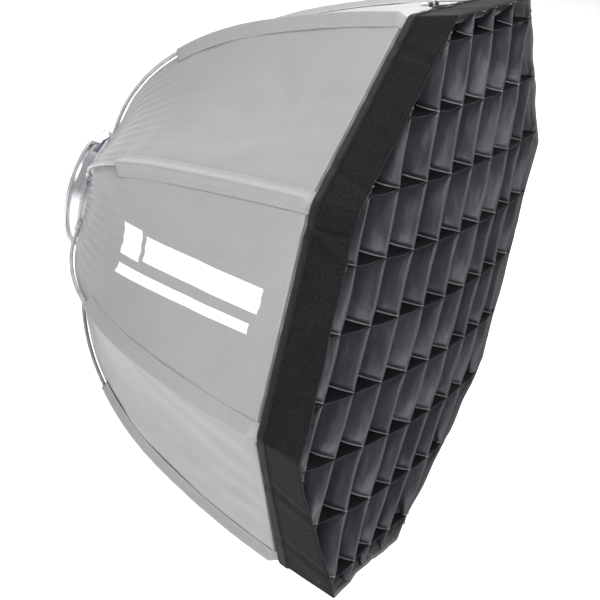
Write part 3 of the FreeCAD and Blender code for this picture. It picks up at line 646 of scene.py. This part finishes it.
def octagon_disc(name, flat, y, body, material, seed, ripple):
    """A flat eight-sided sheet with soft ripples that settle towards its edge."""
    rows = []
    for share in np.linspace(0.004, 1, 46):
        loop, _ = octagon_loop(flat * share, 4 * MM * share, 16, 2)
        rows.append(lifted(loop, y))
    net = np.stack(rows)
    share = np.linspace(0.004, 1, 46)[:, None]
    net[..., 1] += ripple * (cloth_noise(net, 7, seed) + 0.4 * cloth_noise(net, 22, seed)) * (1 - share**4)
    piece = cloth(name, net, body, [material], wrap=True)
    return thicken(piece, 0.5 * MM, offset=0.0)


def octagon_border(name, flat, width, y, body, material, thickness):
    rows = [lifted(octagon_loop(flat - width * share, 3 * MM)[0], y) for share in np.linspace(0, 1, 5)]
    border = thicken(cloth(name, np.stack(rows), body, [material], wrap=True), thickness, offset=0.0)
    return border


def make_diffusers():
    """The front diffuser and the inner baffle with its straps."""
    white = diffusion_cloth()
    edging = ribbon("diffuser_binding", 0.55)
    for name, node, body, seed, ripple, low, high in (
            ("diffuser_sheet", "front_diffuser", "diffuser", 3.0, 1.8 * MM, diffuser_low, diffuser_high),
            ("baffle_sheet", "inner_baffle", "softbox", 8.0, 5.0 * MM, baffle_low, baffle_high)):
        y = (low[1] + high[1]) / 2
        flat = high[0]
        sheet = octagon_disc(name, flat, y, body, white, seed, ripple)
        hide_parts(node)
        border = octagon_border(name + "_border", flat, 14 * MM, y, body, edging, 1.1 * MM)
        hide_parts(node)
    elastic = ribbon("elastic", 0.05, 1.3 * MM)
    for k in range(SIDES):
        strap_from = baffle_high[0] / COS - 10 * MM
        radius = np.interp(-baffle_high[1], -RIDGE[:, 1], RIDGE[:, 0]) - 4 * MM
        run = np.linspace(strap_from, radius, 24)
        side = np.linspace(-6.5 * MM, 6.5 * MM, 7)
        net = np.stack(np.broadcast_arrays(run[:, None], baffle_high[1] + 0.9 * MM, side[None, :]), -1).copy()
        net[..., 1] += 0.8 * MM * np.sin(np.pi * np.linspace(0, 1, 24))[:, None]
        strap = cloth(f"strap_{k + 1}", around(net, k * EIGHTH + HALF), "softbox", [elastic])
        thicken(strap, 0.8 * MM, offset=0.0)
        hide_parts("baffle_straps")


# ---- skirt ------------------------------------------------------------------------------------------


def skirt_flat(depth):
    """Axis to flat at a depth behind the skirt's front edge."""
    return SKIRT_FLAT * (1 - (1 - SKIRT_TAPER) * depth / SKIRT_DEPTH)


DRAWN_RIDGE, DRAWN_SPREAD = math.radians(247.5), math.radians(20)
DRAWN = 14 * MM
DRAWN_FROM, DRAWN_OVER = 150 * MM, 130 * MM

# Creases pressed into the skirt by packing: side, place along it at its rear and front edge, depth.
CREASES = [
    (2, 0.55, 0.30, 1.6), (2, -0.20, -0.45, 1.3), (3, 0.62, 0.80, 1.8), (3, -0.10, 0.12, 1.2),
    (3, -0.66, -0.50, 1.5), (4, -0.80, -0.56, 3.2), (4, 0.05, -0.10, 0.9), (4, 0.62, 0.50, 1.5),
    (5, -0.35, -0.18, 1.4), (5, 0.50, 0.66, 1.2), (6, 0.10, 0.25, 1.3), (1, -0.30, -0.10, 1.3),
    (0, 0.40, 0.20, 1.2), (7, -0.20, 0.10, 1.2),
]


def drawn(points, share):
    """Draws the front edge forward at the lower left corner; share is 0 there and 1 at the rear."""
    radius = np.hypot(points[..., 0], points[..., 2])
    turn = np.arctan2(points[..., 2], points[..., 0]) % math.tau - DRAWN_RIDGE
    near = np.exp(-(turn / DRAWN_SPREAD)**2) * np.clip((radius - DRAWN_FROM) / DRAWN_OVER, 0, 1)**2
    moved = np.copy(points)
    moved[..., 1] -= DRAWN * near * (1 - share)
    return moved


def skirt_row(depth, raised=0.0):
    """Places and normals round the skirt at a depth, with its soft waves and pressed creases."""
    flat = skirt_flat(depth)
    loop, normals = octagon_loop(flat, SKIRT_ROUND)
    ring = lifted(loop, FRONT + depth)
    share = depth / SKIRT_DEPTH
    move = 0.9 * MM * cloth_noise(ring, 16, 5.5) + 0.45 * MM * cloth_noise(ring, 45, 1.5)
    reach = flat * TAN
    for side, rear, front, deep in CREASES:
        angle = side * EIGHTH
        out = np.array([math.cos(angle), math.sin(angle)])
        way = np.array([-math.sin(angle), math.cos(angle)])
        on_side = (loop @ out) > flat - 0.5 * MM
        along = loop @ way - reach * (rear * share + front * (1 - share))
        groove = -deep * MM * np.exp(-np.abs(along) / (5 * MM)) + 0.5 * deep * MM * np.exp(
            -((np.abs(along) - 11 * MM) / (8 * MM))**2)
        move = move + np.where(on_side, groove, 0.0)
    near_corner = np.abs(np.sum(loop * normals, 1) - flat) > 1e-6
    move = np.where(near_corner, move * 0.5, move) - 0.35 * MM
    moved = loop + normals * (move + raised)[:, None]
    ring = lifted(moved, FRONT + depth)
    ring[:, 1] += 2.4 * MM * (1 - share)**2 * cloth_noise(ring * np.array([1, 0, 1]), 24, 12.5)
    return drawn(ring, share), lifted(normals, 0.0)


LEFT_SIDE = 4
SEAM_AT, SEAM_LAP = -0.82, 0.155
LEFT_WAY = [-1.0, 0.0, 0.0]
# A rectangle sewn on the left side, as (along, share of the depth from the front edge).
SEWN_BOX = [(0.0, 0.70), (0.0, 0.43), (0.46, 0.43), (0.46, 0.70), (0.0, 0.70)]


def on_left(along, depth, raised):
    """A point on the skirt's left side; along runs from -1 at its top to 1."""
    first = LEFT_SIDE * (PER_SIDE + PER_CORNER)
    side = skirt_row(depth, raised)[0][first:first + PER_SIDE]
    return np.array([np.interp(along, np.linspace(-1, 1, PER_SIDE), side[:, k]) for k in range(3)])


def seam_stitches(line):
    return stitch_row(line, np.tile(LEFT_WAY, (len(line), 1)), 3.0 * MM, 2.2 * MM, 0.7 * MM, 0.4 * MM)


def make_skirt():
    """The skirt with its binding, seams and tapes; returns the thread that the grid's tacks share."""
    loop_side = loop_cloth()
    satin = grid_cloth("skirt_lining", 0.020)
    black_thread = thread("skirt_thread", 0.004)
    pale_thread = thread("tack_thread", 0.10)
    depths = np.linspace(SKIRT_DEPTH - 1.0 * MM, 0, 20)
    net = np.stack([skirt_row(depth)[0] for depth in depths])
    skirt = thicken(cloth("skirt_cloth", net, "grid", [loop_side, satin], wrap=True),
                    SKIRT_CLOTH, inside=1)
    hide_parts("skirt_panels")

    # Binding folded over the rear edge: outside, round the edge, inside.
    path = [(BINDING_WIDTH, 1.15), (BINDING_WIDTH * 0.75, 1.3), (BINDING_WIDTH * 0.4, 1.2), (1.2 * MM, 1.0),
            (0.0, 0.1), (-0.5 * MM, -1.0), (0.0, -2.1), (1.2 * MM, -2.8), (BINDING_WIDTH * 0.5, -2.9),
            (BINDING_WIDTH, -2.8)]
    rows = [skirt_row(SKIRT_DEPTH - 1.0 * MM - back, up * MM)[0] for back, up in reversed(path)]
    binding = cloth("skirt_edge_binding", np.stack(rows), "grid",
                    [ribbon("binding_ribbon", 0.007, 1.0 * MM, 0.85)], wrap=True)
    thicken(binding, 0.6 * MM, offset=-1.0)
    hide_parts("skirt_binding")

    stitched = []
    for back, up in ((1.8 * MM, 1.15), (BINDING_WIDTH - 1.4 * MM, 1.35), (SKIRT_DEPTH - 4.5 * MM, 0.05)):
        line, normals = skirt_row(SKIRT_DEPTH - 1.0 * MM - back, up * MM)
        closed = [np.concatenate([line, line[:1]]), np.concatenate([normals, normals[:1]])]
        stitched.append(stitch_row(*closed, 3.4 * MM, 2.5 * MM, 0.7 * MM, 0.45 * MM))
    for (start, from_share), (end, to_share) in zip(SEWN_BOX, SEWN_BOX[1:]):
        stitched.append(seam_stitches(np.array([
            on_left(start + (end - start) * part, (from_share + (to_share - from_share) * part) * SKIRT_DEPTH,
                    0.1 * MM) for part in np.linspace(0, 1, 8)])))

    # The skirt's ends lap over each other near the top of the left side.
    depths = np.linspace(SKIRT_DEPTH - BINDING_WIDTH - 1.5 * MM, 0.8 * MM, 14)
    lap = np.array([[on_left(SEAM_AT + SEAM_LAP * part, depth, (1.5 - 2.4 * part) * MM)
                     for part in np.linspace(0, 1, 9)] for depth in depths])
    flap = thicken(cloth("seam_lap", lap, "grid", [loop_side]), 0.8 * MM, offset=0.0)
    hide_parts("skirt_panels")
    stitched.append(seam_stitches(np.array([on_left(SEAM_AT + 0.03, depth, 1.5 * MM) for depth in depths])))
    sewing("skirt_stitches", stitched, "grid", black_thread)

    # Hook tape and seam tape inside the skirt.
    for name, node, start, end, level in (("hook_tape", "skirt_hook_tape", 27 * MM, 46 * MM, 0.03),
                                          ("seam_tape", "skirt_hook_tape", 5 * MM, 15 * MM, 0.085)):
        rows = [skirt_row(depth, -SKIRT_CLOTH - 0.1 * MM)[0] for depth in np.linspace(end, start, 6)]
        tape = cloth(name, np.stack(rows), "grid", [ribbon(name, level, 0.9 * MM, 0.55)], wrap=True)
        thicken(tape, 0.7 * MM)
        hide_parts(node)
    tape_rows = []
    for depth in (6.8 * MM, 13.2 * MM):
        line, normals = skirt_row(depth, -SKIRT_CLOTH - 0.9 * MM)
        tape_rows.append(stitch_row(line, -normals, 4.0 * MM, 2.8 * MM, 0.8 * MM, 0.4 * MM))
    sewing("seam_tape_stitches", tape_rows, "grid", pale_thread)
    return pale_thread


# ---- soft grid --------------------------------------------------------------------------------------

FLARE = 5.5 * MM
FLARE_FALL = 15 * MM
OPEN_SHARE = 0.86  # part of the depth over which a column's lower edge hangs free of the row
HALF_CLOTH = 0.6 * MM
CELL_STEPS = 14
DEPTH_STEPS = 14


def half_chord(flat, height):
    return flat - max(0.0, abs(height) - flat * TAN)


def wall_stops(place):
    """The wall's ends and the crossing walls between them."""
    wide = half_chord(GRID_FLAT, abs(place) + HALF_CLOTH)
    crossings = [k * PITCH for k in WALLS if abs(k * PITCH) < wide - 4 * MM]
    return [-wide, *crossings, wide]


def wall_front(place, along):
    """y of a wall's front edge: it hangs forward in the middle of the frame."""
    hang = GRID_BOW * (1 - (place / GRID_FLAT)**2)
    wide = half_chord(GRID_FLAT, abs(place) + HALF_CLOTH)
    return FRONT + 0.3 * MM - hang * (1 - (along / wide)**2)


def wall_depth(place, along):
    """Depth of a wall: its ends slant in from the skirt's front edge, and its rear edge bows back."""
    wide = half_chord(GRID_FLAT, abs(place) + HALF_CLOTH)
    narrow = half_chord(GRID_LIP, abs(place) + HALF_CLOTH)
    slant = GRID_STEP * (wide - np.abs(along)) / (wide - narrow)
    bowed = GRID_STEP + (GRID_DEPTH - GRID_STEP) * (1 - (along / narrow)**2)
    return np.where(np.abs(along) > narrow, slant, bowed)


def cell_net(place, start, end, gap):
    """(along, y) over one cell of a wall, and the shares across the cell and back through it."""
    q = np.linspace(0, 1, CELL_STEPS + 1)[:, None]
    t = np.linspace(0, 1, DEPTH_STEPS + 1)[None, :]
    opening = np.where(t < OPEN_SHARE, gap, 0.0)
    along = (start + opening) * (1 - q) + (end - opening) * q
    y = wall_front(place, along) + t * wall_depth(place, along)
    return along, y, q, t


def joined_cells(nets):
    """Verts and faces of a wall made of cells; cells join where their rims meet."""
    parts = []
    for points in nets:
        rows, columns = points.shape[:2]
        faces = [(i * columns + j, i * columns + j + 1, (i + 1) * columns + j + 1, (i + 1) * columns + j)
                 for i in range(rows - 1) for j in range(columns - 1)]
        parts.append((points.reshape(-1, 3), faces))
    verts, faces = merged(parts)
    places, index, used = {}, [], []
    for i, vert in enumerate(verts):
        key = tuple(np.round(vert / (0.02 * MM)).astype(int))
        if key not in places:
            places[key] = len(used)
            used.append(vert)
        index.append(places[key])
    faces = [tuple(index[i] for i in face) for face in faces]
    faces = [face for face in faces if len(set(face)) == 4]
    return np.array(used), faces


def make_grid(pale_thread):
    """Rows and columns of the soft grid, with the frayed lower edge of each column's flaps; the rows'
    near-black cloth is painted shade, and the pale edging thread is partly painted highlight.
    """
    satin = grid_cloth("grid_cloth", 0.024, 0.34, 0.62, 0.08)
    # The rows and their edges take a near-black copy of the columns' satin: painted shade for the shade that
    # falls inside the cells.
    rows_painted_shade = grid_cloth("painted_shade_grid_rows", 0.004, 0.8, 0.08, 0.0)
    edge = grid_cloth("grid_cut_edge", 0.030, 0.6, 0.3, 0.05)
    row_edge_painted_shade = grid_cloth("painted_shade_row_edge", 0.010, 0.7, 0.15, 0.0)
    # Edging thread along the columns' lower edges: its own pale grey, made lighter as a painted highlight for
    # the light that the flared lower edges catch.
    edge_thread_and_painted_highlight = thread("edge_thread_and_painted_highlight", 0.42)
    draws = random.Random(67)
    for number, k in enumerate(WALLS, start=1):
        z = k * PITCH
        stops = wall_stops(z)
        nets = []
        for start, end in zip(stops, stops[1:]):
            x, y, q, t = cell_net(z, start, end, 0.0)
            swell = draws.uniform(-1.4, 0.2) * min(1.0, (end - start) / PITCH)
            lift = swell * MM * np.sin(np.pi * q)**1.3 * (1 - 0.6 * t)
            points = np.stack([x, y, np.full_like(x, z)], -1)
            points[..., 2] += lift + cloth_noise(points, 38, 3.3 * number) * 1.1 * MM * np.sin(np.pi * q)
            nets.append(drawn(points, t))
        verts, faces = joined_cells(nets)
        coords = np.stack([verts[:, 0], verts[:, 1], verts[:, 2] * 0], -1)
        row = new_piece(f"row_wall_{number}", verts, faces, "grid", [rows_painted_shade, row_edge_painted_shade], coords)
        thicken(row, 0.8 * MM, offset=0.0, rim=1)
        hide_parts(f"grid_row_{number}")
    frayed = []
    for number, k in enumerate(WALLS, start=1):
        x = k * PITCH
        stops = wall_stops(x)
        nets = []
        for index, (start, end) in enumerate(zip(stops, stops[1:])):
            z, y, q, t = cell_net(x, start, end, 1.3 * MM)
            tall = min(1.0, (end - start) / PITCH)
            swell = draws.choice((-1, -1, 1)) * draws.uniform(1.5, 5.0) * tall
            bulge = swell * MM * np.sin(np.pi * q) * (1 - 0.65 * t)
            from_row = q * (end - start)
            depth_wave = np.where(t < OPEN_SHARE, np.sin(np.pi * t / OPEN_SHARE), 0.0)
            flare = -FLARE * tall * draws.uniform(0.55, 1.3) * np.exp(-from_row / FLARE_FALL) * depth_wave
            to_row = end - start - from_row
            top = draws.uniform(-1.6, 1.6) * MM * tall * np.exp(-to_row / (8 * MM)) * depth_wave
            points = np.stack([np.full_like(z, x), y, z], -1)
            rumple = cloth_noise(points, 30, 9.7 * number + index) * 2.0 * MM
            pulled = cloth_noise(points * np.array([1, 2.4, 0.5]), 60, 5.1 * number) * 0.8 * MM
            points[..., 0] += bulge + flare + top + (rumple + pulled) * np.sin(np.pi * q) * tall
            points = drawn(points, t)
            nets.append(points)
            line = points[0, 0:DEPTH_STEPS - 2]
            if index > 0 and end - start > 20 * MM:
                normals = np.tile(np.array([-1.0, 0.0, 0.35]), (len(line), 1))
                frayed.append(stitch_row(line, normals, 1.8 * MM, 5.2 * MM, 1.5 * MM, 0.7 * MM,
                                         crosswise=True))
        verts, faces = joined_cells(nets)
        coords = np.stack([verts[:, 2], verts[:, 1], verts[:, 2] * 0], -1)
        column = new_piece(f"column_wall_{number}", verts, faces, "grid", [satin, edge], coords)
        thicken(column, 1.0 * MM, offset=0.0, rim=1)
        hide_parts(f"grid_column_{number}")
    sewing("grid_edge_stitches", frayed, "grid", edge_thread_and_painted_highlight)
    make_tacks(pale_thread)


def make_tacks(material):
    """Bar tacks that hold each wall's end to the front edge of the skirt."""
    tacks = []
    for k in WALLS:
        place = k * PITCH
        end = wall_stops(place)[-1]
        for side in (-1, 1):
            for upright in (False, True):
                across = np.linspace(-2.4, 2.4, 4) * MM
                edge = np.full(4, side * end)
                if upright:
                    line = np.stack([np.full(4, place) + across, np.full(4, FRONT - 0.2 * MM), edge], -1)
                else:
                    line = np.stack([edge, np.full(4, FRONT - 0.2 * MM), np.full(4, place) + across], -1)
                normals = np.tile(np.array([0.0, -1.0, 0.0]), (4, 1))
                tacks.append(stitch_row(line, normals, 1.2 * MM, 2.2 * MM, 0.8 * MM, 0.6 * MM,
                                        crosswise=True))
    sewing("wall_tacks", tacks, "grid", material)


# ---- tab --------------------------------------------------------------------------------------------


def make_tab():
    """Webbing tab sewn over the skirt's rear edge, with a loop round each tether ring."""
    low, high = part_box("tether_tab")
    webbing = ribbon("webbing", 0.035, 1.5 * MM)
    slope = -math.atan((1 - SKIRT_TAPER) * SKIRT_FLAT / SKIRT_DEPTH)
    middle = (low[0] + high[0]) / 2
    edge = Vector((middle, SKIRT_REAR, SKIRT_FLAT * SKIRT_TAPER))
    seat = Matrix.Translation(edge) @ Matrix.Rotation(slope, 4, "X")
    half = (high[0] - low[0]) / 2
    side = np.linspace(-half, half, 27)
    back = np.linspace(-13, 0.4, 14) * MM
    net = np.stack(np.broadcast_arrays(side[None, :], back[:, None], 1.7 * MM), -1).copy()
    net[..., 2] += 0.15 * MM * np.cos(net[..., 0] * 900)
    moved = np.array([[seat @ Vector(p) for p in row] for row in net])
    tab = cloth("ring_tab", moved, "grid", [webbing])
    thicken(tab, 1.1 * MM, offset=-1.0)
    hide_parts("tether_tab")
    eye = np.array([3.4, 4.2]) * MM
    for number, shift in enumerate((-8.5 * MM, 8.5 * MM), start=1):
        turn = np.linspace(-0.5 * math.pi, 1.25 * math.pi, 20)
        wrap = [eye + 1.75 * MM * np.array([math.cos(a), math.sin(a)]) for a in turn]
        path = np.array([[-9 * MM, 2.2 * MM], [-3 * MM, 2.2 * MM], [1.5 * MM, 2.1 * MM], *wrap])
        width = np.linspace(-3.1, 3.1, 9) * MM + shift
        net = np.stack(np.broadcast_arrays(width[None, :], path[:, :1], path[:, 1:]), -1)
        moved = np.array([[seat @ Vector(p) for p in row] for row in net])
        loop = cloth(f"ring_loop_{number}", moved, "grid", [webbing])
        thicken(loop, 0.7 * MM, offset=0.0)
        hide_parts("tether_tab")
    rows = []
    for shift in (-half + 1.6 * MM, half - 1.6 * MM):
        line = np.array([seat @ Vector((shift, b, 1.75 * MM)) for b in np.linspace(-12, -1, 8) * MM])
        normals = np.tile(np.array([0.0, 0.3, 1.0]), (8, 1))
        rows.append(stitch_row(line, normals, 2.2 * MM, 1.7 * MM, 0.6 * MM, 0.4 * MM))
    sewing("tab_stitches", rows, "grid", thread("tab_thread", 0.05))


# ---- hardware ---------------------------------------------------------------------------------------


def dress(material, *names):
    for name in names:
        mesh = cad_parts[name].data
        mesh.materials.clear()
        mesh.materials.append(material)


def make_hardware():
    dress(turned_metal("polished_metal", 0.84, 0.16, 0.34, (0.97, 0.97, 1.03)), "mount_tube")
    dress(turned_metal("rim_metal", 0.66, 0.36, 0.5), "rear_rim")
    dress(painted("matte_metal", 0.50, 0.50, 0.55, (0.98, 0.98, 1.04)), "carrier_flange", "rod_carrier")
    dress(turned_metal("steel", 0.74, 0.16, 0.34), "snap_ring", "latch_pivot_pin", "latch_link",
          "carrier_screws", "tether_ring_1", "tether_ring_2")
    dress(turned_metal("latch_metal", 0.78, 0.12, 0.30, (0.99, 0.99, 1.02)), "latch_base", "latch_catch",
          "latch_lever")
    dress(painted("rod_steel", 0.44, 0.42, 0.3), *(f"rod_{k}" for k in range(1, SIDES + 1)))
    dress(painted("vinyl", 0.30, 0.55), "rod_tips")
    dress(painted("rubber", 0.035, 0.75), "grip_liner")


# ---- stage ------------------------------------------------------------------------------------------

CAMERA_AT = Vector((-3.1275, -1.2028, 0.7509))
CAMERA_AZIMUTH, CAMERA_ELEVATION, CAMERA_ROLL = (math.radians(a) for a in (-72.83, 13.67, 13.24))
LENS = 210
FLOOR_DROP = 0.35
FLOOR_HALF = 14.0
# Strength of the surroundings: a lit backdrop on +X, behind the object, and a dim room on -X.
BACKDROP_BETWEEN, BACKDROP_STRENGTH = (-0.35, 0.55), (0.34, 1.05)
# name, place, size, watts
LAMPS = [
    ("key", (-2.2, -0.9, 1.7), 1.0, 62),
    ("top", (0.0, -0.6, 2.6), 1.8, 20),
    ("grid_fill", (-2.2, -2.6, 0.9), 0.9, 22),
    ("low_fill", (-2.0, -2.2, -0.5), 0.8, 9),
]


def make_camera():
    back = Vector((math.sin(CAMERA_AZIMUTH) * math.cos(CAMERA_ELEVATION),
                   -math.cos(CAMERA_AZIMUTH) * math.cos(CAMERA_ELEVATION), math.sin(CAMERA_ELEVATION)))
    right = Vector((math.cos(CAMERA_AZIMUTH), math.sin(CAMERA_AZIMUTH), 0))
    up = back.cross(right)
    rolled_right = right * math.cos(CAMERA_ROLL) + up * math.sin(CAMERA_ROLL)
    rolled_up = up * math.cos(CAMERA_ROLL) - right * math.sin(CAMERA_ROLL)
    lens = bpy.data.cameras.new("camera")
    lens.lens = LENS
    lens.sensor_width = 36
    lens.clip_end = 50
    camera = bpy.data.objects.new("camera", lens)
    turn = Matrix((rolled_right, rolled_up, back)).transposed().to_4x4()
    camera.matrix_world = Matrix.Translation(CAMERA_AT) @ turn
    bpy.context.scene.collection.objects.link(camera)
    bpy.context.scene.camera = camera


def area_light(name, at, target, size, power):
    light = bpy.data.lights.new(name, "AREA")
    light.shape = "DISK"
    light.size = size
    light.energy = power
    lamp = bpy.data.objects.new(name, light)
    way = Vector(target) - Vector(at)
    lamp.matrix_world = Matrix.Translation(at) @ way.to_track_quat("-Z", "Y").to_matrix().to_4x4()
    bpy.context.scene.collection.objects.link(lamp)


def make_stage():
    scene = bpy.context.scene
    scene.view_settings.view_transform = "Standard"
    world = bpy.data.worlds.new("studio")
    world.use_nodes = True
    sky = world.node_tree.nodes["Background"]
    sky.inputs["Color"].default_value = (1, 1, 1, 1)
    way = world.node_tree.nodes.new("ShaderNodeTexCoord").outputs["Generated"]
    split = world.node_tree.nodes.new("ShaderNodeSeparateXYZ")
    world.node_tree.links.new(way, split.inputs[0])
    backdrop = world.node_tree.nodes.new("ShaderNodeMapRange")
    backdrop.interpolation_type = "SMOOTHSTEP"
    for socket, number in zip(backdrop.inputs[1:5], (*BACKDROP_BETWEEN, *BACKDROP_STRENGTH)):
        socket.default_value = number
    world.node_tree.links.new(split.outputs[0], backdrop.inputs[0])
    world.node_tree.links.new(backdrop.outputs[0], sky.inputs["Strength"])
    scene.world = world
    floor_z = CAD_BOX[0][2] - FLOOR_DROP
    corners = ((-1, -1), (1, -1), (1, 1), (-1, 1))
    mesh = bpy.data.meshes.new("floor")
    mesh.from_pydata([(x * FLOOR_HALF, y * FLOOR_HALF, floor_z) for x, y in corners], [], [(0, 1, 2, 3)])
    floor = bpy.data.objects.new("floor", mesh)
    scene.collection.objects.link(floor)
    material, tree, shader, object_place = begin("floor_paper", 0.9, Specular_IOR_Level=0.1)
    base = mixed(tree, grain(tree, object_place, 3, 2), grey(0.93), grey(0.95))
    tree.links.new(base, shader.inputs["Base Color"])
    mesh.materials.append(material)
    middle = (0, FRONT / 2, 0)
    for name, place, size, power in LAMPS:
        area_light(name, place, middle, size, power)
    area_light("floor_wash", (3.2, 0.6, 2.6), (2.6, 0.4, -0.7), 2.5, 190)


make_camera()
make_stage()
make_hardware()
make_shell()
make_hem_and_lip()
make_diffusers()
make_grid(make_skirt())
make_tab()
